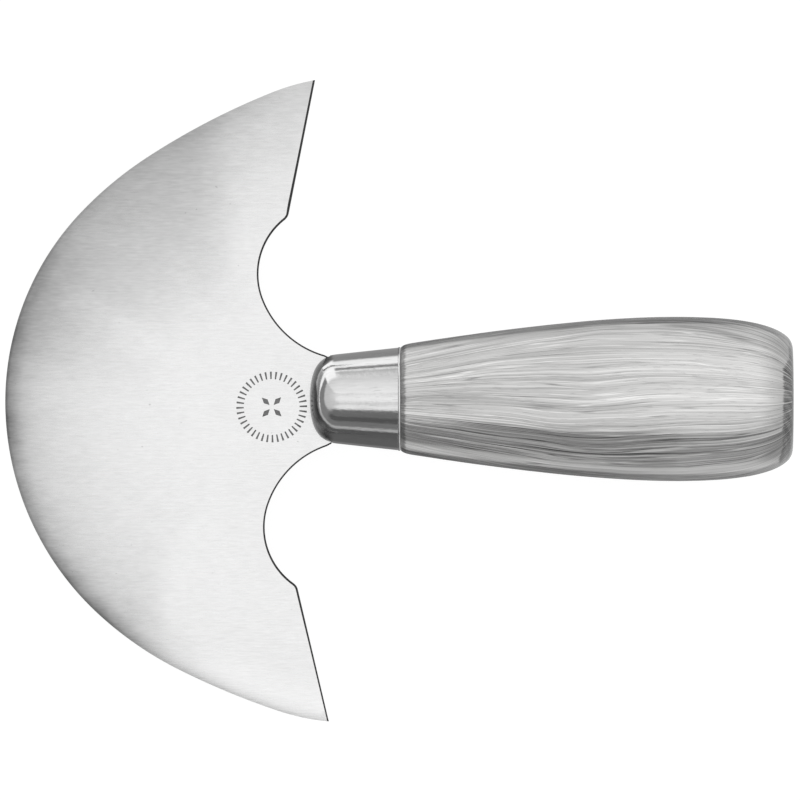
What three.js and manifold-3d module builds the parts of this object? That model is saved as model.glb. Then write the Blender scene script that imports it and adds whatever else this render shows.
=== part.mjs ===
// Head knife for leather: a crescent blade whose flat tang is set in a turned wooden handle.
// Millimetres. The origin is the centre of the butt face, +X points out of the butt along the
// handle, the blade lies in the XY plane and +Z points out of the stamped face of the blade.

import * as THREE from 'three';
import { mergeVertices } from 'three/addons/utils/BufferGeometryUtils.js';
import Module from 'manifold-3d';

// Handle, turned about the X axis.
const HANDLE_LENGTH = 73.7;
const BELLY_X = -22;
const BELLY_RADIUS = 15.45;
const NECK_RADIUS = 10.5;
const BUTT_FACE_RADIUS = 9.6;
const BUTT_ROUND = { x: -0.75, radius: 11.42 };
const FRONT_FACE_RADIUS = 9.6;
const FRONT_ROUND = 2;
const TENON_LENGTH = 11;
const BORE_RADIUS = 5.5;
const BORE_DEPTH = 61;

// Ferrule, a drawn cap with a blunt domed nose, a tapering skirt and a rolled lip.
const FERRULE_LENGTH = 17.1;
const FERRULE_WALL = 0.9;
const NOSE_DEPTH = 5.6;
const NOSE_RADIUS = 8.46;
const NOSE_POWERS = { along: 3, across: 2.5 };
const MOUTH_RADIUS = 9.65;
const LIP_RADIUS = 9.78;
const LIP_WIDTH = 0.5;

// Blade, in its own frame: u runs from the ferrule nose towards the butt, v across, z through.
const BLADE_THICKNESS = 2.4;
const BLADE_LEAN = THREE.MathUtils.degToRad(1.4);
const BLADE_OFFSET = -0.4;
const EDGE_FRONT = -57.3;
const NOTCH_CORNER = { u: -3.3, v: 34.6 };
const NOTCH_HEADING = 213.7;
const NOTCH_ARCS = [
  { radius: 13, sweep: 76.4 },
  { radius: 17.6, sweep: 52.3 },
];
const SHOULDER = { u: 3.9, v: 8.1 };
const TANG = { end: 65, front: 4.5, back: 2.5 };

// Arcs of the cutting edge from its front to each horn. The edge is ground by hand, so the half
// towards +v and the half towards -v are not quite alike.
const PLUS_EDGE_ARCS = [
  { radius: 51.7, sweep: 44.8 },
  { radius: 69, sweep: 13.3 },
  { radius: 134, sweep: 11.5 },
  { radius: 42, sweep: 11.5 },
];
const MINUS_EDGE_ARCS = [
  { radius: 54.4, sweep: 46.3 },
  { radius: 66, sweep: 15.7 },
  { radius: 144, sweep: 8 },
  { radius: 42, sweep: 13.5 },
];

// Half-thickness of the blade at a distance in from the cutting edge: a straight bevel, then a
// grind that swells to the full thickness.
const GRIND = [
  { inset: 0, half: 0.04 },
  { inset: 1.9, half: 0.42 },
  { inset: 5, half: 0.72 },
  { inset: 9, half: 0.99 },
  { inset: 14, half: 1.2 },
];

// Clearances between the pieces.
const SEAT_GAP = 0.3;
const SLOT_GAP = 0.15;
const RESIN_GAP = 0.25;

const TURNED_SEGMENTS = 48;
const FERRULE_NOSE_X = -HANDLE_LENGTH - FERRULE_LENGTH;
const MOUTH_X = -HANDLE_LENGTH;

const wasm = await Module();
wasm.setup();

function toSolid(geometry) {
  const bare = geometry.clone();
  bare.deleteAttribute('normal');
  bare.deleteAttribute('uv');
  const merged = mergeVertices(bare, 1e-4);
  return new wasm.Manifold(
    new wasm.Mesh({
      numProp: 3,
      vertProperties: new Float32Array(merged.attributes.position.array),
      triVerts: new Uint32Array(merged.index.array),
    }),
  );
}

function toGeometry(solid) {
  const mesh = solid.getMesh();
  const geometry = new THREE.BufferGeometry();
  geometry.setAttribute('position', new THREE.BufferAttribute(mesh.vertProperties, 3));
  geometry.setIndex(new THREE.BufferAttribute(mesh.triVerts, 1));
  geometry.computeVertexNormals();
  return geometry;
}

// Turns a profile of (radius, x) points about the X axis.
function turned(profile) {
  return new THREE.LatheGeometry(profile, TURNED_SEGMENTS).rotateZ(-Math.PI / 2);
}

function point(radius, x) {
  return new THREE.Vector2(radius, x);
}

// Follows arcs that are tangent to each other; turn is +1 for left-hand bends, -1 for right.
function arcChain(start, headingDegrees, arcs, turn, step = 1.5) {
  const points = [start.clone()];
  let heading = THREE.MathUtils.degToRad(headingDegrees);
  for (const { radius, sweep } of arcs) {
    const from = points[points.length - 1];
    const toCentre = heading + (turn * Math.PI) / 2;
    const centre = new THREE.Vector2(Math.cos(toCentre), Math.sin(toCentre));
    centre.multiplyScalar(radius).add(from);
    const angle = THREE.MathUtils.degToRad(sweep) * turn;
    const count = Math.ceil(Math.abs(angle * radius) / step);
    for (let i = 1; i <= count; i += 1) {
      points.push(from.clone().rotateAround(centre, (angle * i) / count));
    }
    heading += angle;
  }
  return points;
}

function mirrored(points) {
  return points.map((p) => new THREE.Vector2(p.x, -p.y)).reverse();
}

// Carries blade-frame geometry into the part's frame.
function placeBlade(geometry) {
  return geometry.rotateZ(BLADE_LEAN).translate(FERRULE_NOSE_X, BLADE_OFFSET, 0);
}

const edgeFront = new THREE.Vector2(EDGE_FRONT, 0);
const plusEdge = arcChain(edgeFront, 90, PLUS_EDGE_ARCS, -1);
const minusEdge = mirrored(arcChain(edgeFront, 90, MINUS_EDGE_ARCS, -1));

function bladeBlank() {
  const corner = new THREE.Vector2(NOTCH_CORNER.u, NOTCH_CORNER.v);
  const back = [
    ...arcChain(corner, NOTCH_HEADING, NOTCH_ARCS, 1, 1),
    new THREE.Vector2(SHOULDER.u, SHOULDER.v),
    new THREE.Vector2(SHOULDER.u, TANG.front),
    new THREE.Vector2(TANG.end, TANG.back),
  ];
  const outline = new THREE.Shape([
    ...plusEdge,
    ...back,
    ...mirrored(back),
    ...minusEdge.slice(0, -1),
  ]);
  const blank = new THREE.ExtrudeGeometry(outline, {
    depth: BLADE_THICKNESS,
    bevelEnabled: false,
  });
  return blank.translate(0, 0, -BLADE_THICKNESS / 2);
}

// Waste that the grinding takes off one face, swept along the cutting edge and past both horns.
function grindingWaste(side) {
  const overrun = 4;
  const past = (before, last) => last.clone().sub(before).setLength(overrun).add(last);
  const edge = [...minusEdge, ...plusEdge.slice(1)];
  const points = [past(edge[1], edge[0]), ...edge, past(edge.at(-2), edge.at(-1))];
  const path = new THREE.CatmullRomCurve3(points.map((p) => new THREE.Vector3(p.x, p.y, 0)));
  const clear = BLADE_THICKNESS;
  const end = GRIND[GRIND.length - 1];
  const section = [
    { inset: -1, half: clear },
    { inset: -1, half: GRIND[0].half },
    ...GRIND,
    { inset: end.inset + 2, half: end.half + 0.08 },
    { inset: end.inset + 2, half: clear },
  ];
  const shape = new THREE.Shape(
    section.map(({ inset, half: z }) => new THREE.Vector2(-z * side, -inset)),
  );
  return new THREE.ExtrudeGeometry(shape, { steps: 110, extrudePath: path });
}

function bladeGeometry() {
  const blank = toSolid(bladeBlank());
  const ground = blank.subtract(toSolid(grindingWaste(1))).subtract(toSolid(grindingWaste(-1)));
  return placeBlade(toGeometry(ground));
}

// Outside of the ferrule's skirt at a point along it, with the same taper ahead of its start.
function skirtRadius(x) {
  const along = (x - FERRULE_NOSE_X - NOSE_DEPTH) / (FERRULE_LENGTH - NOSE_DEPTH);
  return THREE.MathUtils.lerp(NOSE_RADIUS, MOUTH_RADIUS, along);
}

// Nose of the ferrule at a depth in from its outside, from the axis to the top of the skirt: a
// superellipse narrowed by the skirt's taper, so that it runs into the skirt without a crease.
function ferruleNose(inset) {
  const points = [point(0, FERRULE_NOSE_X + inset)];
  for (let i = 1; i <= 12; i += 1) {
    const angle = (i / 12) * (Math.PI / 2);
    const ahead = (NOSE_DEPTH - inset) * Math.max(Math.cos(angle), 0) ** (2 / NOSE_POWERS.along);
    const x = FERRULE_NOSE_X + NOSE_DEPTH - ahead;
    const radius = (skirtRadius(x) - inset) * Math.sin(angle) ** (2 / NOSE_POWERS.across);
    points.push(point(radius, x));
  }
  return points;
}

function ferruleGeometry() {
  const lip = LIP_WIDTH / 2;
  const cap = turned([
    ...ferruleNose(0),
    point(MOUTH_RADIUS, MOUTH_X - LIP_WIDTH),
    point(LIP_RADIUS, MOUTH_X - lip),
    point(LIP_RADIUS, MOUTH_X - lip / 2),
    point(LIP_RADIUS - lip, MOUTH_X),
    point(MOUTH_RADIUS - FERRULE_WALL, MOUTH_X),
    ...ferruleNose(FERRULE_WALL).reverse(),
  ]);
  const floor = SHOULDER.u + SEAT_GAP;
  const slot = new THREE.BoxGeometry(2 * floor, 4 * NOSE_RADIUS, BLADE_THICKNESS + 2 * SLOT_GAP);
  return toGeometry(toSolid(cap).subtract(toSolid(placeBlade(slot))));
}

function ferruleBore(x) {
  return skirtRadius(x) - FERRULE_WALL;
}

function handleGeometry() {
  const front = MOUTH_X + SEAT_GAP;
  const roundEnd = front + FRONT_ROUND;
  const tenonX = MOUTH_X - TENON_LENGTH;
  const frontRound = new THREE.QuadraticBezierCurve(
    point(FRONT_FACE_RADIUS, front),
    point(NECK_RADIUS - 0.3, front + 0.25),
    point(NECK_RADIUS, roundEnd),
  );
  const grip = new THREE.CubicBezierCurve(
    point(NECK_RADIUS, roundEnd),
    point(12.5, -58.7),
    point(BELLY_RADIUS, -38),
    point(BELLY_RADIUS, BELLY_X),
  );
  const palm = new THREE.CubicBezierCurve(
    point(BELLY_RADIUS, BELLY_X),
    point(BELLY_RADIUS, -11.7),
    point(14.48, -3.6),
    point(BUTT_ROUND.radius, BUTT_ROUND.x),
  );
  const buttRound = new THREE.QuadraticBezierCurve(
    point(BUTT_ROUND.radius, BUTT_ROUND.x),
    point(10.7, 0),
    point(BUTT_FACE_RADIUS, 0),
  );
  return turned([
    point(0, tenonX + BORE_DEPTH),
    point(BORE_RADIUS, tenonX + BORE_DEPTH),
    point(BORE_RADIUS, tenonX),
    point(ferruleBore(tenonX) - SEAT_GAP, tenonX),
    point(ferruleBore(front) - SEAT_GAP, front),
    ...frontRound.getPoints(3),
    ...grip.getPoints(12).slice(1),
    ...palm.getPoints(12).slice(1),
    ...buttRound.getPoints(4).slice(1),
    point(0, 0),
  ]);
}

// Cutler's resin around the tang: a pool behind the shoulders, then the filled bore.
function resinGeometry() {
  const tenonX = MOUTH_X - TENON_LENGTH;
  const poolX = FERRULE_NOSE_X + SHOULDER.u + 2 * SEAT_GAP;
  const poolEnd = tenonX - SEAT_GAP;
  const fill = turned([
    point(0, poolX),
    point(ferruleBore(poolX) - RESIN_GAP, poolX),
    point(ferruleBore(poolEnd) - RESIN_GAP, poolEnd),
    point(BORE_RADIUS - RESIN_GAP, poolEnd),
    point(BORE_RADIUS - RESIN_GAP, tenonX + BORE_DEPTH - SEAT_GAP),
    point(0, tenonX + BORE_DEPTH - SEAT_GAP),
  ]);
  const pocketStart = SHOULDER.u - 1;
  const pocketEnd = TANG.end + SEAT_GAP;
  const pocket = new THREE.Shape([
    new THREE.Vector2(pocketStart, TANG.front + RESIN_GAP),
    new THREE.Vector2(pocketStart, -TANG.front - RESIN_GAP),
    new THREE.Vector2(pocketEnd, -TANG.back - RESIN_GAP),
    new THREE.Vector2(pocketEnd, TANG.back + RESIN_GAP),
  ]);
  const depth = BLADE_THICKNESS + 2 * RESIN_GAP;
  const tangRoom = new THREE.ExtrudeGeometry(pocket, { depth, bevelEnabled: false });
  tangRoom.translate(0, 0, -depth / 2);
  return toGeometry(toSolid(fill).subtract(toSolid(placeBlade(tangRoom))));
}

function piece(name, geometry, look) {
  const mesh = new THREE.Mesh(geometry, new THREE.MeshStandardMaterial(look));
  mesh.name = name;
  return mesh;
}

const knife = new THREE.Group();
knife.name = 'head_knife';
knife.add(
  piece('blade', bladeGeometry(), { color: 0xcfcfcf, roughness: 0.34, metalness: 1 }),
  piece('ferrule', ferruleGeometry(), { color: 0xd6d6d6, roughness: 0.12, metalness: 1 }),
  piece('handle', handleGeometry(), { color: 0xb5b0aa, roughness: 0.35, metalness: 0 }),
  piece('tang_resin', resinGeometry(), { color: 0x2a2622, roughness: 0.4, metalness: 0 }),
);

export default knife;
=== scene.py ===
import math

import bmesh
import bpy
import numpy as np
from mathutils import Matrix, Vector, noise
from mathutils.geometry import delaunay_2d_cdt


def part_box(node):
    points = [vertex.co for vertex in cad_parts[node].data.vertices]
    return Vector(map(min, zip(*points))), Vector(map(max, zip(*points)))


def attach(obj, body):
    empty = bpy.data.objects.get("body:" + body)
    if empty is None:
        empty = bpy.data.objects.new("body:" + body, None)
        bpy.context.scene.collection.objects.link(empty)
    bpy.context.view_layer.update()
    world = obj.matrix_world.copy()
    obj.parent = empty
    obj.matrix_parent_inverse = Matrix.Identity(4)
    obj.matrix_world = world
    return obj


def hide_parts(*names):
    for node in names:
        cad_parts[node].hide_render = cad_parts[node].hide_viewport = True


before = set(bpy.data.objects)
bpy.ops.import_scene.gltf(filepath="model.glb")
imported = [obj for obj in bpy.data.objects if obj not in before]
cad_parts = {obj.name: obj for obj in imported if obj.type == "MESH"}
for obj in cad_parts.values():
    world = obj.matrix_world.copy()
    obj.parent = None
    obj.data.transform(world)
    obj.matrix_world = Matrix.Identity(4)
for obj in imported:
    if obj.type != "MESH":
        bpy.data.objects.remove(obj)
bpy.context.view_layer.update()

# The part lies as packed: +X out of the butt, blade in the XY plane, +Z up towards the camera.
# Meshes are drawn in millimetres and stored in metres.
MM = 0.001
BLADE_LO, BLADE_HI = (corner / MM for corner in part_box("blade"))
_, FERRULE_HI = (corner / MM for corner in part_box("ferrule"))
HANDLE_LO, HANDLE_HI = (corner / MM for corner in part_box("handle"))
BUTT_X = HANDLE_HI.x
MOUTH_X = FERRULE_HI.x
TENON_X = HANDLE_LO.x
FERRULE_LENGTH = 17.1
NOSE_X = MOUTH_X - FERRULE_LENGTH

# Blade, in its own frame: u from the ferrule nose towards the butt, v across.
BLADE_HALF = BLADE_HI.z
BLADE_LEAN = math.radians(1.4)
BLADE_OFFSET = -0.4
EDGE_FRONT = -57.3
# Arcs as (radius, sweep in degrees), each tangent to the one before.
PLUS_EDGE_ARCS = ((51.7, 44.8), (69, 13.3), (134, 11.5), (42, 11.5))
MINUS_EDGE_ARCS = ((54.4, 46.3), (66, 15.7), (144, 8), (42, 13.5))
NOTCH_CORNER = (-3.3, 34.6)
NOTCH_HEADING = 213.7
NOTCH_ARCS = ((13, 76.4), (17.6, 52.3))
CORNER_ROUND = 0.7
SHOULDER = (3.9, 8.1)
TANG_FRONT = 4.5
TANG_BACK = (65, 2.5)
# Distance in from the cutting edge, and half-thickness there.
HONED = (0.5, 0.13)
BEVEL = (1.9, 0.42)
GRIND_WIDTH = 18.0
# Chamfer along the back edges: its width, what is added at the notch corners and how far that
# reaches, what is added on the +Y horn, and its depth for each millimetre of width.
ARRIS = 0.30
ARRIS_AT_CORNER = 0.08
ARRIS_CORNER_REACH = 9
ARRIS_ON_PLUS_HORN = 0.10
ARRIS_SLOPE = 0.8
# Lines the mesh follows in from the edge, so that its hollow grind comes out smooth.
GRIND_LINES = (HONED[0], BEVEL[0], 3.2, 4.8, 6.6, 8.6, 10.8, 13.2, 15.6, GRIND_WIDTH)

# Touchmark on the blade: ticks as two radii and the half-widths there, lozenges as their
# distance out, half-length and half-width.
MARK_CENTRE = Vector((-7.2, -0.95))
MARK_DEPTH = 0.1
MARK_SLOPE = 0.05
TICKS = 40
TICK_ENDS = (5.25, 6.65)
TICK_HALF_WIDTHS = (0.12, 0.18)
LOZENGES = 4
LOZENGE = (1.55, 1.0, 0.5)

# Ferrule.
NOSE_DEPTH = 5.6
NOSE_RADIUS = 8.46
NOSE_POWERS = (3, 2.5)
MOUTH_RADIUS = 9.65
LIP_RADIUS = FERRULE_HI.z
LIP_WIDTH = 0.55
WALL = 0.9
SLOT_PLAY = 0.05
FERRULE_SEGMENTS = 144

# Handle.
BELLY_RADIUS = HANDLE_HI.z
FRONT_GAP = 0.02
BORE_RADIUS = 5.5
BORE_END = TENON_X + 61
TENON_PLAY = 0.1
HANDLE_SEGMENTS = 160

# Stage: paper under the knife, a plain white backdrop and a long lens straight above.
PAPER_GAP = 0.35
PAPER_HALF_SIZE = 8000
PAPER_LEVEL = 0.16
PAPER_GLOW = 0.90
BACKDROP_LEVEL = 0.98
VIEW_CENTRE = (-73.85, -0.2)
VIEW_WIDTH = 150.47
LENS = 800
SENSOR = 36


# ---------------------------------------------------------------- shapes

def arc_chain(start, heading_degrees, arcs, turn, step):
    """Points along arcs tangent to each other; turn is +1 for left-hand bends, -1 for right."""
    points = [Vector(start)]
    heading = math.radians(heading_degrees)
    for radius, sweep in arcs:
        begin = points[-1]
        side = heading + turn * math.pi / 2
        centre = begin + radius * Vector((math.cos(side), math.sin(side)))
        angle = turn * math.radians(sweep)
        count = max(2, math.ceil(abs(angle) * radius / step))
        for i in range(1, count + 1):
            points.append(centre + Matrix.Rotation(angle * i / count, 2) @ (begin - centre))
        heading += angle
    return points


def quadratic(a, b, c, t):
    """A point on the curve from a to c that bends towards b."""
    return a.lerp(b, t).lerp(b.lerp(c, t), t)


def mirrored(points):
    """The points with their sides changed, in the other direction."""
    return [Vector((p.x, -p.y)) for p in reversed(points)]


def half_edge(arcs, inset=0.0, step=0.7):
    """Half of the cutting edge, or of the line at a distance in from it, front to tip."""
    arcs = [(radius - inset, sweep) for radius, sweep in arcs]
    return arc_chain((EDGE_FRONT + inset, 0), 90, arcs, turn=-1, step=step)


def half_back(tip):
    """The back of one horn, its finger notch and the neck, from the tip."""
    corner = Vector(NOTCH_CORNER)
    notch = arc_chain(corner, NOTCH_HEADING, NOTCH_ARCS, turn=1, step=0.45)
    into = (tip - corner).normalized() * CORNER_ROUND
    before, after = corner + into, notch[2]
    rounded = [quadratic(before, corner, after, t) for t in (0, 0.25, 0.5, 0.75)]
    back = [tip.lerp(before, i / 30) for i in range(30)]
    return back + rounded + notch[2:] + [Vector(SHOULDER)]


def arris_width(point):
    """Width of the chamfer along the back edges, widest at the corners and on the +Y horn."""
    corner = Vector((point[0], abs(point[1]))) - Vector(NOTCH_CORNER)
    at_corner = math.exp(-(corner.length / ARRIS_CORNER_REACH) ** 2)
    on_horn = min(max((point[1] - NOTCH_CORNER[1]) / 2, 0), 1)
    return ARRIS + ARRIS_AT_CORNER * at_corner + ARRIS_ON_PLUS_HORN * on_horn


def offset_line(points, width):
    """The points moved to the right of their direction, each by the width there."""
    moved = []
    for i, p in enumerate(points):
        along = points[min(i + 1, len(points) - 1)] - points[max(i - 1, 0)]
        along.normalize()
        moved.append(p + width(p) * Vector((along.y, -along.x)))
    return moved


def distance_to(points, line):
    """Distance from each point to a polyline, all as arrays of (u, v)."""
    a, b = line[:-1], line[1:]
    d = b - a
    best = np.full(len(points), 1e9)
    for start, step in zip(a, d):
        t = np.clip(((points - start) @ step) / (step @ step), 0, 1)
        gap = points - start - t[:, None] * step
        best = np.minimum(best, np.hypot(gap[:, 0], gap[:, 1]))
    return best


def inside(points, loop):
    """Which points lie inside a closed loop."""
    hit = np.zeros(len(points), bool)
    for a, b in zip(loop, np.roll(loop, -1, axis=0)):
        spans = (a[1] > points[:, 1]) != (b[1] > points[:, 1])
        if a[1] != b[1]:
            cross = (b[0] - a[0]) * (points[:, 1] - a[1]) / (b[1] - a[1]) + a[0]
            hit ^= spans & (points[:, 0] < cross)
    return hit


def half_thickness(d):
    """Half-thickness of the blade at a distance in from its cutting edge."""
    swell = BLADE_HALF - (BLADE_HALF - BEVEL[1]) * (
        (GRIND_WIDTH - np.minimum(d, GRIND_WIDTH)) / (GRIND_WIDTH - BEVEL[0])
    ) ** 2
    ground = np.interp(d, (0, HONED[0], BEVEL[0]), (0, HONED[1], BEVEL[1]))
    return np.where(d < BEVEL[0], ground, swell)


def new_object(name, mesh, materials, node):
    piece = bpy.data.objects.new(name, mesh)
    bpy.context.scene.collection.objects.link(piece)
    for look in materials:
        mesh.materials.append(look)
    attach(piece, "root")
    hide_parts(node)
    return piece


def finish_mesh(name, bm, sharp_degrees):
    """A mesh in metres, faces outwards, smooth but for edges sharper than that angle."""
    bmesh.ops.recalc_face_normals(bm, faces=bm.faces)
    if bm.calc_volume(signed=True) < 0:
        bmesh.ops.reverse_faces(bm, faces=bm.faces)
    mesh = bpy.data.meshes.new(name)
    bm.to_mesh(mesh)
    bm.free()
    mesh.transform(Matrix.Scale(MM, 4))
    for polygon in mesh.polygons:
        polygon.use_smooth = True
    mesh.set_sharp_from_angle(angle=math.radians(sharp_degrees))
    return mesh


# ---------------------------------------------------------------- touchmark

def mark_shapes():
    """A plain punch mark: a ring of short ticks round four lozenges."""
    shapes = []
    for i in range(TICKS):
        angle = 2 * math.pi * i / TICKS
        out = Vector((math.cos(angle), math.sin(angle)))
        side = Vector((-out.y, out.x))
        inner, outer = (MARK_CENTRE + radius * out for radius in TICK_ENDS)
        w0, w1 = (half_width * side for half_width in TICK_HALF_WIDTHS)
        shapes.append([inner - w0, outer - w1, outer + w1, inner + w0])
    distance, half_length, half_width = LOZENGE
    for i in range(LOZENGES):
        angle = math.pi / 4 + math.pi / 2 * i
        out = Vector((math.cos(angle), math.sin(angle)))
        side = Vector((-out.y, out.x))
        centre = MARK_CENTRE + distance * out
        tip, corner = half_length * out, half_width * side
        shapes.append([centre - corner, centre + tip, centre + corner, centre - tip])
    return shapes


def shrunk(shape, distance):
    """A convex shape with each of its sides moved in by the distance."""
    centre = sum(shape, Vector((0, 0))) / len(shape)
    lines = []
    count = len(shape)
    for i in range(count):
        a, b = shape[i], shape[(i + 1) % count]
        normal = Vector((-(b - a).y, (b - a).x)).normalized()
        if normal.dot(centre - a) < 0:
            normal.negate()
        lines.append((a + normal * distance, (b - a).normalized()))
    result = []
    for i in range(count):
        (p, d), (q, e) = lines[i - 1], lines[i]
        cross = d.x * e.y - d.y * e.x
        t = ((q - p).x * e.y - (q - p).y * e.x) / cross
        result.append(p + d * t)
    return result


# ---------------------------------------------------------------- pieces

def blade_plan():
    """The blade seen from above: points, triangles, which points are on the floor of the
    touchmark, and how far each is from the cutting edge and from the backs."""
    verts, edges = [], []

    def chain(points, closed=False):
        first = len(verts)
        verts.extend(Vector(p) for p in points)
        last = len(verts) - 1
        edges.extend((i, i + 1) for i in range(first, last))
        if closed:
            edges.append((last, first))
        return range(first, last + 1)

    def whole_edge(*inset_and_step):
        minus = half_edge(MINUS_EDGE_ARCS, *inset_and_step)
        return mirrored(minus)[:-1] + half_edge(PLUS_EDGE_ARCS, *inset_and_step)

    edge = whole_edge()
    plus_back = half_back(edge[-1])
    minus_back = half_back(mirrored(edge)[-1])
    tang = [Vector((SHOULDER[0], TANG_FRONT)), Vector(TANG_BACK)]
    outline = edge + plus_back[1:] + tang + mirrored(tang) + mirrored(minus_back[1:])
    chain(outline, closed=True)
    for inset in GRIND_LINES:
        chain(whole_edge(inset, 0.9))
    chain(offset_line(plus_back, arris_width))
    chain(mirrored(offset_line(minus_back, lambda p: arris_width((p.x, -p.y)))))
    floor_verts = set()
    for shape in mark_shapes():
        chain(shape, closed=True)
        floor_verts.update(chain(shrunk(shape, MARK_SLOPE), closed=True))

    coords, _, tris, origins, _, _ = delaunay_2d_cdt(verts, edges, [], 0, 1e-5)
    flat = np.array([tuple(c) for c in coords])
    loop = np.array([tuple(p) for p in outline])
    tris = np.array([tuple(t) for t in tris])
    centres = flat[tris].mean(axis=1)
    tris = tris[inside(centres, loop)]
    sunk = np.array([any(i in floor_verts for i in o) for o in origins])
    lines = (edge, plus_back, mirrored(minus_back))
    from_edge, *from_backs = (
        distance_to(flat, np.array([tuple(p) for p in line])) for line in lines
    )
    return flat, tris, sunk, from_edge, np.minimum(*from_backs)


def blade_mesh():
    flat, tris, sunk, from_edge, from_back = blade_plan()
    width = np.array([arris_width(p) for p in flat])
    half = half_thickness(from_edge)
    across_arris = from_back / width
    depth = np.minimum(width * ARRIS_SLOPE, half * 0.5)
    half = half - np.clip(1 - across_arris, 0, 1) * depth

    bm = bmesh.new()
    top, bottom, insets = {}, {}, []
    cos, sin = math.cos(BLADE_LEAN), math.sin(BLADE_LEAN)
    for i in np.unique(tris):
        u, v = flat[i]
        x = NOSE_X + u * cos - v * sin
        y = BLADE_OFFSET + u * sin + v * cos
        insets.append(from_edge[i])
        if from_edge[i] < 1e-3:
            top[i] = bottom[i] = bm.verts.new((x, y, 0))
        else:
            top[i] = bm.verts.new((x, y, half[i] - (MARK_DEPTH if sunk[i] else 0)))
            bottom[i] = bm.verts.new((x, y, -half[i]))
            insets.append(from_edge[i])
    sides = []
    for a, b, c in tris:
        ab, ac = flat[b] - flat[a], flat[c] - flat[a]
        if ab[0] * ac[1] < ab[1] * ac[0]:
            b, c = c, b
        face = bm.faces.new((top[a], top[b], top[c]))
        under = bm.faces.new((bottom[c], bottom[b], bottom[a]))
        if sunk[a] or sunk[b] or sunk[c]:
            face.material_index = 1
        # On the chamfer, with some room for its change of width.
        reach = across_arris[[a, b, c]]
        if reach.max() < 1.08 and reach.min() < 0.97:
            face.material_index = under.material_index = 2
        sides += [(a, b), (b, c), (c, a)]
    known = set(sides)
    for p, q in sides:
        if (q, p) not in known:
            ring = [top[p], bottom[p], bottom[q], top[q]]
            unique = list(dict.fromkeys(ring))
            if len(unique) > 2:
                bm.faces.new(unique).material_index = 2
    mesh = finish_mesh("blade_forged", bm, sharp_degrees=8)
    mesh.attributes.new("inset", "FLOAT", "POINT").data.foreach_set("value", insets)
    return mesh


def lathe(profile, segments, wobble=None):
    """Turns a profile of (x, radius) about the X axis. Points of zero radius become poles."""
    bm = bmesh.new()
    rings = []
    for x, r in profile:
        if r < 1e-6:
            rings.append([bm.verts.new((x, 0, 0))])
            continue
        ring = []
        for k in range(segments):
            angle = 2 * math.pi * k / segments
            y, z = math.cos(angle), math.sin(angle)
            radius = r + (wobble(x, y, z, r) if wobble else 0)
            ring.append(bm.verts.new((x, radius * y, radius * z)))
        rings.append(ring)
    for a, b in zip(rings, rings[1:]):
        for k in range(segments):
            n = (k + 1) % segments
            if len(a) == 1:
                bm.faces.new((a[0], b[k], b[n]))
            elif len(b) == 1:
                bm.faces.new((a[k], b[0], a[n]))
            else:
                bm.faces.new((a[k], b[k], b[n], a[n]))
    return bm


def cubic(p, q, r, s, count):
    """Points of (x, radius) along a Bezier curve, without its first."""
    points = []
    for i in range(1, count + 1):
        t = i / count
        w = ((1 - t) ** 3, 3 * t * (1 - t) ** 2, 3 * t * t * (1 - t), t ** 3)
        points.append(tuple(sum(k * c[j] for k, c in zip(w, (p, q, r, s))) for j in (0, 1)))
    return points


def handle_profile():
    """Outside of the handle, as (x, radius) from the ferrule to the centre of the butt."""
    front = MOUTH_X + FRONT_GAP
    points = [(front, 8.6), (front, 9.6)]
    points += cubic(points[-1], (front + 0.02, 9.85), (front + 0.5, 10.24), (front + 2, 10.5), 14)
    points += cubic(points[-1], (-58.7, 12.5), (-38, BELLY_RADIUS), (-22, BELLY_RADIUS), 90)
    points += cubic(points[-1], (-11.7, BELLY_RADIUS), (-3.6, 14.48), (-0.75, 11.42), 60)
    points += cubic(points[-1], (-0.42, 11.02), (BUTT_X - 0.02, 10.3), (BUTT_X, 9.5), 14)
    points += [(BUTT_X, r) for r in (9.2, 8, 6.5, 5, 3.5, 2, 1, 0)]
    return points


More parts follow.
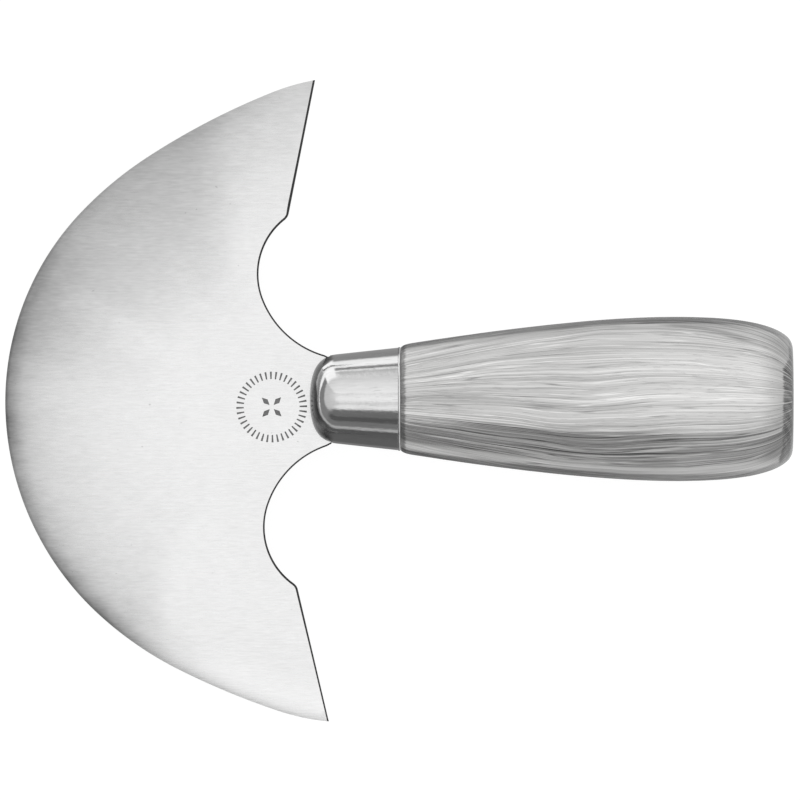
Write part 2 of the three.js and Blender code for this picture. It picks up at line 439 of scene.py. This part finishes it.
def handle_mesh():
    def wobble(x, y, z, r):
        """Hand-turned unevenness of the outside, left out of the bore and the butt's face."""
        if r < 8.9 or x > BUTT_X - 0.05 or x < MOUTH_X + 0.5:
            return 0
        slow = noise.noise(Vector((x * 0.07, y * 1.1, z * 1.1)))
        ripple = noise.noise(Vector((x * 0.45, y * 0.8 + 7, z * 0.8)))
        return 0.05 * slow + 0.012 * ripple

    inner = [(BORE_END, 0), (BORE_END, BORE_RADIUS * 0.6), (BORE_END, BORE_RADIUS)]
    inner += [(TENON_X, BORE_RADIUS), (TENON_X, ferrule_bore(TENON_X) - TENON_PLAY)]
    inner += [(MOUTH_X + FRONT_GAP, ferrule_bore(MOUTH_X) - TENON_PLAY)]
    bm = lathe(inner + handle_profile(), HANDLE_SEGMENTS, wobble)
    mesh = finish_mesh("handle_turned", bm, sharp_degrees=32)
    # Both wrap round a cylinder of the belly's size. Grain keeps to the turned outline; the
    # figure is bowed more than it, drawn in towards the +Z side at both ends, and wavers.
    grain = mesh.attributes.new("grain", "FLOAT_VECTOR", "POINT")
    figure = mesh.attributes.new("figure", "FLOAT_VECTOR", "POINT")
    even, bowed = [], []
    for vertex in mesh.vertices:
        x, y, z = vertex.co / MM
        angle = math.atan2(y, z)
        across, up = math.sin(angle), math.cos(angle)
        even += (x, BELLY_RADIUS * across, BELLY_RADIUS * up)
        bow = 0.62 * math.exp((MOUTH_X - x) / 16) + 0.5 * math.exp(min(x, 0) / 13)
        bow += 0.4 * math.exp(min(x, 0) / 1.5)
        waver = noise.noise(Vector((x * 0.035, across * 1.2 + 3, up * 1.2)))
        waver += 0.3 * noise.noise(Vector((x * 0.11, across * 2.5 + 9, up * 2.5)))
        angle += bow * across + 0.09 * waver
        bowed += (x, BELLY_RADIUS * math.sin(angle), BELLY_RADIUS * math.cos(angle))
    grain.data.foreach_set("vector", even)
    figure.data.foreach_set("vector", bowed)
    return mesh


def skirt_radius(x):
    """Outside radius of the ferrule's tapered skirt."""
    along = (x - NOSE_X - NOSE_DEPTH) / (FERRULE_LENGTH - NOSE_DEPTH)
    return NOSE_RADIUS + (MOUTH_RADIUS - NOSE_RADIUS) * along


def ferrule_bore(x):
    return skirt_radius(x) - WALL


def ferrule_skin(inset, steps):
    """Nose and skirt at a depth in from the outside, as (x, radius) from the axis."""
    points = []
    along, across = NOSE_POWERS
    for i in range(steps + 1):
        angle = math.pi / 2 * i / steps
        ahead = (NOSE_DEPTH - inset) * max(math.cos(angle), 0) ** (2 / along)
        x = NOSE_X + NOSE_DEPTH - ahead
        points.append((x, (skirt_radius(x) - inset) * math.sin(angle) ** (2 / across)))
    start, end = points[-1], (MOUTH_X - LIP_WIDTH, MOUTH_RADIUS - inset)
    for i in range(1, 13):
        t = i / 12
        points.append((start[0] + (end[0] - start[0]) * t, start[1] + (end[1] - start[1]) * t))
    return points


def ferrule_mesh():
    """A drawn cap with a rolled lip, cut by a slot for the blade's neck."""
    bead = []
    centre_x, centre_r = MOUTH_X - LIP_WIDTH / 2, LIP_RADIUS - LIP_WIDTH / 2
    for i in range(11):
        angle = math.radians(160 - 18 * i)
        bead.append((
            centre_x + LIP_WIDTH / 2 * math.cos(angle),
            centre_r + LIP_WIDTH / 2 * math.sin(angle),
        ))
    inner = [(MOUTH_X - 0.1, MOUTH_RADIUS - WALL)] + ferrule_skin(WALL, 14)[-2::-1]
    bm = lathe(ferrule_skin(0, 40) + bead + inner, FERRULE_SEGMENTS)
    mesh = bpy.data.meshes.new("ferrule_cap")
    bm.to_mesh(mesh)
    bm.free()
    cap = bpy.data.objects.new("ferrule_cap", mesh)
    bpy.context.scene.collection.objects.link(cap)

    cutter_bm = bmesh.new()
    bmesh.ops.create_cube(cutter_bm, size=1)
    # The slot runs right across the cap, from its nose to just past the blade's shoulders.
    length = SHOULDER[0] + 2 * SLOT_PLAY
    size = Matrix.Diagonal((2 * length, 30, 2 * (BLADE_HALF + SLOT_PLAY), 1))
    lean = Matrix.Rotation(BLADE_LEAN, 4, "Z")
    place = Matrix.Translation((NOSE_X, BLADE_OFFSET, 0))
    cutter_bm.transform(place @ lean @ size)
    cutter_mesh = bpy.data.meshes.new("slot_cutter")
    cutter_bm.to_mesh(cutter_mesh)
    cutter_bm.free()
    cutter = bpy.data.objects.new("slot_cutter", cutter_mesh)
    bpy.context.scene.collection.objects.link(cutter)

    cut = cap.modifiers.new("slot", "BOOLEAN")
    cut.operation = "DIFFERENCE"
    cut.solver = "EXACT"
    cut.object = cutter
    graph = bpy.context.evaluated_depsgraph_get()
    result = bmesh.new()
    result.from_mesh(cap.evaluated_get(graph).to_mesh())
    bpy.data.objects.remove(cap)
    bpy.data.objects.remove(cutter)
    bmesh.ops.remove_doubles(result, verts=result.verts, dist=1e-5)
    return finish_mesh("ferrule_drawn", result, sharp_degrees=30)


# ---------------------------------------------------------------- materials

class Graph:
    """A node tree, with a short way to add nodes: a socket is linked, anything else is set."""

    def __init__(self, tree):
        self.tree = tree
        tree.nodes.clear()

    def node(self, kind, inputs, **settings):
        made = self.tree.nodes.new(kind)
        for name, value in settings.items():
            setattr(made, name, value)
        for key, value in inputs.items():
            if isinstance(value, bpy.types.NodeSocket):
                self.tree.links.new(value, made.inputs[key])
            else:
                made.inputs[key].default_value = value
        return made

    def math(self, operation, a, b=0.0, c=0.0):
        return self.node("ShaderNodeMath", {0: a, 1: b, 2: c}, operation=operation).outputs[0]

    def fade(self, value, low, high, at_low=0.0, at_high=1.0):
        """Smooth change from at_low to at_high as value goes from low to high."""
        inputs = {
            "Value": value, "From Min": low, "From Max": high,
            "To Min": at_low, "To Max": at_high,
        }
        return self.node("ShaderNodeMapRange", inputs, interpolation_type="SMOOTHSTEP").outputs[0]

    def scaled(self, vector, scale, offset=(0, 0, 0)):
        inputs = {"Vector": vector, "Scale": scale, "Location": offset}
        return self.node("ShaderNodeMapping", inputs).outputs[0]

    def noise(self, vector, scale, offset=(0, 0, 0), detail=2.0, rough=0.5, distort=0.0):
        """Noise from 0 to 1 with its features 1/scale long on each axis."""
        inputs = {
            "Vector": self.scaled(vector, scale, offset), "Scale": 1.0,
            "Detail": detail, "Roughness": rough, "Distortion": distort,
        }
        return self.node("ShaderNodeTexNoise", inputs).outputs[0]

    def ramp(self, value, stops):
        """Looks a value up in rising (value, level) stops, straight between them."""
        low, high = stops[0][0], stops[-1][0]
        inputs = {"Value": value, "From Min": low, "From Max": high}
        spread = self.node("ShaderNodeMapRange", inputs)
        made = self.node("ShaderNodeValToRGB", {0: spread.outputs[0]})
        elements = made.color_ramp.elements
        for _ in stops[2:]:
            elements.new(0.5)
        for element, (at, level) in zip(elements, stops):
            element.position = (at - low) / (high - low)
            element.color = (level, level, level, 1)
        return made.outputs[0]

    def mix(self, factor, a, b):
        return self.node("ShaderNodeMix", {0: factor, 2: a, 3: b}, data_type="FLOAT").outputs[0]

    def add(self, *values):
        total = values[0]
        for value in values[1:]:
            total = self.math("ADD", total, value)
        return total

    def minus(self, a, b):
        return self.math("SUBTRACT", a, b)

    def times(self, a, b):
        return self.math("MULTIPLY", a, b)

    def axes(self, vector):
        """The X, Y and Z of a vector."""
        return self.node("ShaderNodeSeparateXYZ", {"Vector": vector}).outputs[:]

    def grey(self, value, tint=(1.0, 1.0, 1.0)):
        """A colour of that brightness."""
        parts = [self.times(value, t) for t in tint]
        inputs = dict(zip(("Red", "Green", "Blue"), parts))
        return self.node("ShaderNodeCombineColor", inputs).outputs[0]


def material(name):
    made = bpy.data.materials.new(name)
    made.use_nodes = True
    return made, Graph(made.node_tree)


def millimetres(g):
    """Place on the object, in millimetres."""
    place = g.node("ShaderNodeTexCoord", {}).outputs["Object"]
    return g.scaled(place, (1000, 1000, 1000))


def surface(g, inputs):
    shader = g.node("ShaderNodeBsdfPrincipled", inputs)
    g.node("ShaderNodeOutputMaterial", {"Surface": shader.outputs[0]})


def bump(g, height, distance, strength=1.0):
    inputs = {"Height": height, "Distance": distance, "Strength": strength}
    return g.node("ShaderNodeBump", inputs).outputs[0]


def centred(g, value, amount):
    """A 0 to 1 value as a change of plus or minus half of amount."""
    return g.times(g.minus(value, 0.5), amount)


def painted_grind_shade(g, x, y, depth, uneven):
    """How much painted shade darkens the ground face, standing for the dim reflections of the
    grind and bevel: 0 in the middle of the blade, more to its edge.

    It goes by degrees round the blade from its front, positive on the +Y side, and by
    millimetres in from the cutting edge, which `uneven` shifts to and fro.
    """
    ahead = g.minus(NOSE_X - 5.3, x)
    beside = g.add(y, 1.2)
    degrees = g.times(g.math("ARCTAN2", beside, ahead), 180 / math.pi)
    inset = g.math("MAXIMUM", g.add(depth, *uneven), 0.0)
    plus = g.fade(degrees, 2, 24)

    # Broad: painted shade for the hollow grind's dim reflection, deepest on the +Y front and
    # gone at the -Y tip.
    broad = g.add(
        g.mix(plus, 0.19, 0.66), g.fade(degrees, 24, 42, 0.0, -0.22),
        g.fade(degrees, 46, 66, 0.0, 0.05), g.fade(degrees, 70, 88, 0.0, -0.18),
    )
    broad = g.times(broad, g.fade(degrees, -80, -50))
    broad = g.add(broad, g.fade(degrees, -80, -62, -0.07, 0.0))
    reach = g.add(
        g.mix(plus, 20.0, 12.0), g.fade(degrees, 26, 42, 0.0, 22.0),
        g.fade(degrees, 60, 80, 0.0, -22.0),
    )
    limit = g.fade(degrees, -64, -44, 9.0, 39.0)
    broad = g.times(broad, g.fade(inset, g.times(limit, 0.33), limit, 1.0, 0.0))
    broad = g.times(broad, g.math("EXPONENT", g.math("DIVIDE", inset, g.times(reach, -1.0))))

    # Narrow: painted shade for the bevel's dim reflection, on the -Y front only.
    narrow = g.add(
        0.31, g.fade(degrees, -18, -2, 0.0, 0.21), g.fade(degrees, -42, -26, 0.15, 0.0),
    )
    narrow = g.times(narrow, g.fade(degrees, 2, 24, 1.0, 0.0))
    narrow = g.times(narrow, g.fade(degrees, -68, -50))
    narrow = g.times(narrow, g.math("EXPONENT", g.times(inset, -0.35)))

    # Painted highlights: both tips are brighter along their edge. Painted shade: the honed strip
    # is a little darker.
    tips = g.add(g.fade(degrees, 84, 94, 0.0, -0.14), g.fade(degrees, -88, -76, -0.14, 0.0))
    tips = g.times(tips, g.math("EXPONENT", g.times(inset, -0.8)))
    honed = g.times(
        g.fade(depth, 0.7, 0.2, 0.0, 0.08), g.fade(g.math("ABSOLUTE", degrees), 44, 62, 1.0, 0.2),
    )
    return g.add(g.math("MINIMUM", broad, 0.57), narrow, tips, honed)


def brushed_steel(name, level, ground=1.0, dirt=0.0):
    """Steel brushed along X, roughened by dirt, with painted shade darkening its colour towards
    its edge as much as `ground` says.
    """
    made, g = material(name)
    p = millimetres(g)
    lines = g.noise(p, (0.10, 2.8, 2.8), detail=3, rough=0.65)
    short = g.noise(p, (0.32, 3.4, 3.4), (31, 7, 0), detail=2)
    clouds = g.noise(p, (0.055, 0.075, 0.1), (3, 11, 5), detail=4, rough=0.55)
    patches = g.noise(p, (0.25, 0.4, 0.3), (9, 1, 2), detail=3)
    dashes = g.noise(p, (0.50, 2.5, 2.5), (11, 3, 6), detail=1)
    specks = g.noise(p, (0.9, 1.3, 1.3), (17, 5, 3), detail=1)
    dark_speck = g.fade(specks, 0.79, 0.83)
    light_speck = g.fade(specks, 0.19, 0.15)

    x, y, _ = g.axes(p)
    depth = g.node("ShaderNodeAttribute", {}, attribute_name="inset").outputs["Fac"]
    uneven = (centred(g, clouds, 3.0), centred(g, patches, 1.6))
    shade = g.times(painted_grind_shade(g, x, y, depth, uneven), ground)

    # Marks show more where the painted shade is.
    marks = g.add(
        centred(g, lines, 0.11), centred(g, short, 0.09), centred(g, dashes, 0.10),
        centred(g, clouds, 0.06), centred(g, patches, 0.05),
    )
    marks = g.times(marks, g.add(1.0, g.times(shade, 2.4)))
    tone = g.add(level, marks, g.times(dark_speck, -0.25), g.times(light_speck, 0.10))
    # The painted shade darkens the steel's colour.
    tone = g.times(tone, g.minus(1.0, shade))
    rough = g.add(0.27, centred(g, lines, 0.16), centred(g, clouds, 0.10), g.times(shade, 0.08))
    height = g.add(g.times(lines, 0.6), g.times(short, 0.4))
    surface(g, {
        "Base Color": g.grey(tone), "Metallic": 1.0, "Roughness": g.add(rough, dirt),
        "Normal": bump(g, height, 0.000012),
    })
    return made


def scaled_steel():
    """The unpolished back edges and chamfers: dark forge scale, a little rubbed in places."""
    made, g = material("scaled_steel")
    p = millimetres(g)
    crust = g.noise(p, (0.8, 0.8, 1.6), detail=4, rough=0.65)
    rubbed = g.fade(g.noise(p, (0.16, 0.16, 0.5), (4, 4, 4), detail=3), 0.56, 0.70)
    tone = g.add(0.055, centred(g, crust, 0.05), g.times(rubbed, 0.04))
    surface(g, {
        "Base Color": g.grey(tone), "Metallic": 0.85,
        "Roughness": g.add(0.50, centred(g, crust, 0.25), g.times(rubbed, -0.12)),
        "Normal": bump(g, crust, 0.00003),
    })
    return made


def plated_metal():
    """Nickel plate: bright, drawn along X, with a few scores, and painted shade on the nose."""
    made, g = material("plated_metal")
    p = millimetres(g)
    x, y, z = g.axes(p)
    drawn = g.noise(p, (0.045, 2.6, 2.6), (7, 3, 1), detail=2)
    scratches = g.noise(p, (0.3, 6, 6), (2, 0, 9), detail=2)
    haze = g.noise(p, (0.25, 0.3, 0.3), detail=3)
    polish = g.noise(p, (1.1, 1.1, 1.1), (5, 5, 5), detail=4)
    scores = g.fade(g.noise(p, (0.07, 3.4, 3.4), (1, 8, 2), detail=1), 0.36, 0.28)
    scores = g.times(scores, g.fade(x, NOSE_X + 6, NOSE_X + 10))
    tone = g.add(
        0.80, centred(g, drawn, 0.16), centred(g, haze, 0.05), centred(g, scratches, 0.05),
        g.times(scores, -0.10),
    )
    # The nose beside the blade is darkened with painted shade, standing for the dark it reflects.
    # The gap is how far a point is inside the limit of that shade, which is darkest just inside
    # it and painted lighter there towards the -Y side.
    beyond = g.math("MAXIMUM", g.minus(y, 3.8), 0.0)
    limit = g.add(g.fade(y, 0.6, 3.8, 6.5, 5.15), g.times(beyond, -0.27))
    gap = g.minus(limit, g.math("ABSOLUTE", z))
    gap = g.add(gap, centred(g, haze, 0.5), centred(g, polish, 0.3))
    nose = g.fade(x, NOSE_X + 3.0, NOSE_X + 4.8, 1.0, 0.0)
    nose_shade = g.times(g.fade(gap, -0.15, 0.15), nose)
    deep = g.times(g.fade(gap, 0.1, 0.3), g.fade(gap, 1.0, 1.4, 1.0, 0.0))
    deep = g.times(g.times(deep, nose_shade), g.fade(g.math("ABSOLUTE", y), 4.0, 2.0))
    shade_eased = g.times(g.fade(gap, 3.0, 1.8), g.fade(y, -3.5, -5.5))
    dark = g.times(nose_shade, g.add(0.78, g.times(shade_eased, -0.30)))
    # The painted shade darkens the nose's colour.
    tone = g.times(tone, g.minus(1.0, g.add(dark, g.times(deep, 0.10))))
    rough = g.add(
        0.08, centred(g, haze, 0.05), centred(g, polish, 0.03), g.times(scores, 0.08),
        g.times(nose_shade, 0.16),
    )
    surface(g, {
        "Base Color": g.grey(tone), "Metallic": 1.0, "Roughness": rough,
        "Normal": bump(g, g.add(g.times(scratches, 0.5), g.times(polish, 0.7)), 0.000012),
    })
    return made


def varnished_wood():
    """Straight-grained hardwood under a gloss varnish, with end grain at the butt, and with shade
    and light painted into its colour.
    """
    made, g = material("varnished_wood")
    grain = g.node("ShaderNodeAttribute", {}, attribute_name="grain").outputs["Vector"]
    q = g.node("ShaderNodeAttribute", {}, attribute_name="figure").outputs["Vector"]
    p = millimetres(g)
    along, across, _ = g.axes(grain)

    def veins(scale, offset, width):
        """Thin lines where a noise passes its middle."""
        line = g.math("ABSOLUTE", centred(g, g.noise(q, scale, offset, detail=1), 1.0))
        return g.fade(line, 0.0, width, 1.0, 0.0)

    broad = g.noise(q, (0.012, 0.22, 0.2), (1, 3, 0), detail=2)
    bands = g.noise(q, (0.016, 0.75, 0.7), (8, 0, 4), detail=2)
    fibres = g.noise(q, (0.035, 2.6, 2.4), (0, 9, 2), detail=3, rough=0.6)
    strands = g.noise(q, (0.014, 3.2, 3.0), (5, 7, 7), detail=1)
    fine = g.noise(q, (0.16, 7, 6), (3, 1, 1), detail=2)
    dark_line = g.math(
        "MAXIMUM", veins((0.012, 0.45, 0.4), (6, 6, 1), 0.016),
        g.times(veins((0.016, 1.0, 0.9), (1, 4, 9), 0.024), 0.8),
    )
    light_line = g.math(
        "MAXIMUM", veins((0.014, 0.7, 0.65), (2, 14, 3), 0.015),
        g.times(veins((0.018, 1.4, 1.3), (9, 1, 5), 0.028), 0.8),
    )
    dark_strand = g.fade(strands, 0.40, 0.30)
    light_strand = g.fade(strands, 0.60, 0.70)
    pores = g.fade(g.noise(q, (0.35, 7.5, 7.5), (5, 5, 9), detail=0), 0.70, 0.80)

    # Painted shade low on the +Z face, a strip of painted light below it and painted shade on the
    # flanks.
    edge = g.add(
        across, centred(g, bands, 4.0), centred(g, fibres, 2.4),
        g.fade(along, -40, -16, 0.0, 0.7),
    )
    painted_low_shade = g.times(g.fade(edge, -12.7, -11.6), g.fade(edge, -7.2, -5.4, 1.0, 0.0))
    painted_low_light = g.times(g.fade(edge, -14.2, -13.8), g.fade(edge, -13.2, -12.6, 1.0, 0.0))
    # Painted shade along both flanks, darker still at their rim.
    painted_flank_shade = g.fade(g.add(g.math("ABSOLUTE", across), centred(g, bands, 0.7)), 14.0, 14.5)
    painted_rim_shade = g.fade(g.math("ABSOLUTE", across), 14.7, 15.2)
    # Painted highlight above the middle, towards the butt, and a little painted shade towards the
    # front.
    painted_upper_band = g.fade(g.math("ABSOLUTE", g.minus(across, 4.5)), 8.0, 3.5)
    painted_upper_band = g.times(painted_upper_band, g.fade(along, -50, -16, -0.05, 0.11))
    tone = g.add(
        0.53, centred(g, broad, 0.26), centred(g, bands, 0.28), centred(g, fibres, 0.18),
        centred(g, fine, 0.10), g.times(dark_line, -0.24), g.times(light_line, 0.24),
        g.times(dark_strand, -0.13), g.times(light_strand, 0.15), g.times(pores, -0.07),
        g.times(painted_low_shade, -0.27), g.times(painted_low_light, 0.10), g.times(painted_flank_shade, -0.33),
        g.times(painted_rim_shade, -0.07), painted_upper_band,
    )
    # Painted shade in the joint with the ferrule and towards the butt, and the butt's end grain.
    joint = g.add(g.minus(along, MOUTH_X), centred(g, fibres, 1.6), centred(g, bands, 0.5))
    joint_shade = g.fade(joint, 0.6, 1.05, 1.0, 0.0)
    start = g.add(g.fade(across, 6.5, 10.5, 0.0, -1.1), g.fade(across, -11, -14, 0.0, 0.7))
    end = g.add(along, start, centred(g, fibres, 1.0), centred(g, bands, 0.8))
    end = g.fade(end, -2.2, -1.8)
    butt_shade = g.fade(along, -7, -2.2, 0.0, 0.26)
    rings = g.node("ShaderNodeTexWave", {
        "Vector": g.scaled(p, (0.1, 0.1, 0.1), (0, -1.7, 1.1)),
        "Scale": 2.4, "Distortion": 2.5, "Detail": 3.0, "Detail Scale": 1.6,
    }, wave_type="RINGS", rings_direction="X").outputs[1]
    tubes = g.fade(g.noise(p, (2.5, 3.4, 3.4), detail=1), 0.60, 0.72)
    rim = g.fade(along, -0.5, -0.2, 0.42, 0.0)
    level = g.add(g.fade(along, -0.5, -0.1, 0.07, 0.16), g.fade(across, -8, -3, -0.05, 0.0))
    end_tone = g.add(
        level, g.times(rings, 0.08), g.times(tubes, -0.06), g.times(light_line, rim),
        g.times(g.times(light_strand, rim), 0.25),
    )
    # The painted shade darkens the colour in the joint and towards the butt.
    shade_factor = g.minus(1.0, g.add(g.times(joint_shade, 0.63), butt_shade))
    tone = g.mix(end, g.times(tone, shade_factor), end_tone)
    tone = g.math("MINIMUM", g.math("MAXIMUM", tone, 0.04), 0.92)
    rough = g.add(0.40, centred(g, fibres, 0.2), g.times(end, 0.18), g.times(joint_shade, 0.15))
    height = g.add(
        g.times(fibres, 0.5), g.times(fine, 0.25), g.times(pores, -0.8), g.times(dark_line, -0.5),
    )
    surface(g, {
        "Base Color": g.grey(tone, (1.0, 0.995, 0.985)), "Roughness": rough,
        "Coat Weight": 0.9, "Coat Roughness": 0.14, "Coat IOR": 1.7, "IOR": 1.5,
        "Normal": bump(g, height, 0.00004),
    })
    return made


def dark_resin():
    """The setting of the tang, out of sight inside the handle."""
    made, g = material("dark_resin")
    p = millimetres(g)
    swirl = g.noise(p, (0.4, 0.4, 0.4), detail=4, distort=1.5)
    grit = g.noise(p, (4, 4, 4), detail=2)
    tone = g.add(0.03, g.times(swirl, 0.03))
    surface(g, {
        "Base Color": g.grey(tone, (1.0, 0.9, 0.8)),
        "Roughness": g.add(0.35, centred(g, grit, 0.2)),
        "Normal": bump(g, grit, 0.00003),
    })
    return made


# ---------------------------------------------------------------- studio

# Levels against height, from straight down (-1) to straight up (1), as a polished ferrule shows
# them. The front and left tables are read from the height of the thin bright strip there.
BACK_LEVELS = (
    (-1.0, 0.28), (-0.86, 0.24), (-0.47, 0.22), (-0.37, 0.80), (-0.06, 0.88), (0.02, 0.76),
    (0.05, 0.20), (0.17, 0.20), (0.19, 0.80), (0.23, 0.80), (0.26, 0.42), (0.5, 0.50),
    (0.80, 0.70), (1.0, 0.82),
)
CORNER_LEVELS = (
    (-1.0, 0.16), (-0.60, 0.16), (-0.50, 0.92), (0.45, 0.92), (0.58, 0.60), (0.80, 0.70),
    (1.0, 0.82),
)
LEFT_LEVELS = (
    (-1.5, 0.15), (-0.36, 0.15), (-0.30, 0.07), (-0.12, 0.08), (0.06, 0.19), (0.54, 0.19),
    (0.66, 0.49), (0.95, 0.52), (1.06, 0.57), (1.10, 0.64), (1.13, 0.76), (1.5, 0.82),
)
FRONT_LEVELS = (
    (-1.5, 0.17), (-1.06, 0.17), (-0.98, 0.10), (-0.60, 0.10), (-0.09, 0.08), (-0.07, 0.36),
    (0.05, 0.36), (0.08, 0.16), (0.30, 0.15), (0.33, 0.08), (0.47, 0.08), (0.50, 0.13),
    (0.66, 0.14), (0.70, 0.74), (0.82, 0.82), (1.5, 0.82),
)
ROOM_LEVELS = ((-1.0, 0.60), (-0.1, 0.50), (0.0, 0.46), (0.45, 0.66), (1.0, 0.82))
PLATE_LEVEL = 0.80


def studio():
    """What shiny surfaces see, what lights matt ones, and the plain backdrop, by ray kind."""
    world = bpy.data.worlds.new("studio")
    world.use_nodes = True
    world.cycles.sampling_method = "NONE"
    bpy.context.scene.world = world
    g = Graph(world.node_tree)
    direction = g.node("ShaderNodeTexCoord", {}).outputs["Generated"]
    x, y, z = g.axes(direction)

    # Degrees round from the back (+Y) by the left (-X) to the front (-Y).
    turn = g.times(g.math("ARCTAN2", g.times(x, -1.0), y), 180 / math.pi)
    strip = g.add(-0.14, g.fade(turn, 84, 150, 0.0, 0.33))
    over = g.minus(z, strip)
    back = g.ramp(z, BACK_LEVELS)
    corner = g.ramp(z, CORNER_LEVELS)
    left = g.ramp(over, LEFT_LEVELS)
    front = g.ramp(over, FRONT_LEVELS)
    # The strip is broad towards the back, narrow by the left and dim by the front.
    above = g.minus(over, g.fade(turn, 58, 86, 0.27, 0.08))
    below = g.minus(over, g.fade(turn, 70, 90, -0.40, -0.10))
    on_strip = g.times(g.fade(above, 0.03, -0.03), g.fade(below, -0.03, 0.03))
    left = g.mix(on_strip, left, g.fade(turn, 90, 114, 0.85, 0.36))
    # Round from the back to the front, then a plain plate overhead and the room to the right.
    level = g.mix(g.fade(turn, 10.5, 16), back, corner)
    level = g.mix(g.fade(turn, 43, 49), level, left)
    level = g.mix(g.fade(turn, 126, 150), level, front)
    level = g.mix(g.fade(z, 0.95, 0.978), level, PLATE_LEVEL)
    level = g.mix(g.fade(x, 0.03, 0.22), level, g.ramp(z, ROOM_LEVELS))
    glossy = g.times(level, 1 / PLATE_LEVEL)

    matt = g.add(
        g.fade(z, -0.4, 1.0, 0.46, 1.28), g.times(g.fade(y, -0.2, 0.9), 0.12),
        g.times(g.fade(y, 0.0, -0.9), -0.12), g.times(g.fade(x, 0.1, 1.0), -0.34),
    )
    ray = g.node("ShaderNodeLightPath", {})
    shown = g.mix(ray.outputs["Is Glossy Ray"], g.math("MAXIMUM", matt, 0.0), glossy)
    shown = g.mix(ray.outputs["Is Camera Ray"], shown, BACKDROP_LEVEL)
    background = g.node("ShaderNodeBackground", {"Color": g.grey(shown), "Strength": 1.0})
    g.node("ShaderNodeOutputWorld", {"Surface": background.outputs[0]})


def floor_material():
    """White paper that glows a little, so that it stays pale in the knife's shadow."""
    made, g = material("paper")
    p = millimetres(g)
    fibre = g.noise(p, (0.6, 0.6, 0.6), detail=4)
    inputs = {"Color": g.grey(g.add(PAPER_LEVEL, centred(g, fibre, 0.01)))}
    paper = g.node("ShaderNodeBsdfDiffuse", inputs).outputs[0]
    inputs = {"Color": (1, 1, 1, 1), "Strength": PAPER_GLOW}
    glow = g.node("ShaderNodeEmission", inputs).outputs[0]
    both = g.node("ShaderNodeAddShader", {0: paper, 1: glow})
    g.node("ShaderNodeOutputMaterial", {"Surface": both.outputs[0]})
    made.cycles.emission_sampling = "NONE"
    return made


def floor():
    """Paper under the knife as it lies on a bench: on its belly and the front of its blade."""
    front = Vector((BLADE_LO.x, 0, 0))
    tilt = math.atan(max(r / (x - front.x) for x, r in handle_profile()))
    lean = Matrix.Rotation(tilt, 4, "Y")
    bm = bmesh.new()
    bmesh.ops.create_grid(bm, x_segments=24, y_segments=24, size=PAPER_HALF_SIZE)
    bm.transform(Matrix.Translation(front) @ lean @ Matrix.Translation((0, 0, -PAPER_GAP)))
    mesh = bpy.data.meshes.new("paper")
    bm.to_mesh(mesh)
    bm.free()
    mesh.transform(Matrix.Scale(MM, 4))
    mesh.materials.append(floor_material())
    sheet = bpy.data.objects.new("paper", mesh)
    bpy.context.scene.collection.objects.link(sheet)
    sheet.visible_glossy = False
    sheet.visible_diffuse = False


def camera():
    """Straight above the middle of the knife, from well back."""
    data = bpy.data.cameras.new("above")
    data.lens = LENS
    data.sensor_width = SENSOR
    data.clip_end = 50
    view = bpy.data.objects.new("above", data)
    view.location = Vector((*VIEW_CENTRE, VIEW_WIDTH * LENS / SENSOR)) * MM
    bpy.context.scene.collection.objects.link(view)
    bpy.context.scene.camera = view


# ---------------------------------------------------------------- build

steel = brushed_steel("brushed_steel", 0.88)
stamped = brushed_steel("stamped_steel", 0.22, ground=0.0, dirt=0.25)
blade_materials = [steel, stamped, scaled_steel()]
new_object("blade_forged", blade_mesh(), blade_materials, "blade")
new_object("ferrule_drawn", ferrule_mesh(), [plated_metal()], "ferrule")
new_object("handle_turned", handle_mesh(), [varnished_wood()], "handle")
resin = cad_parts["tang_resin"].data
resin.materials.clear()
resin.materials.append(dark_resin())

studio()
floor()
camera()
bpy.context.scene.view_settings.view_transform = "Standard"
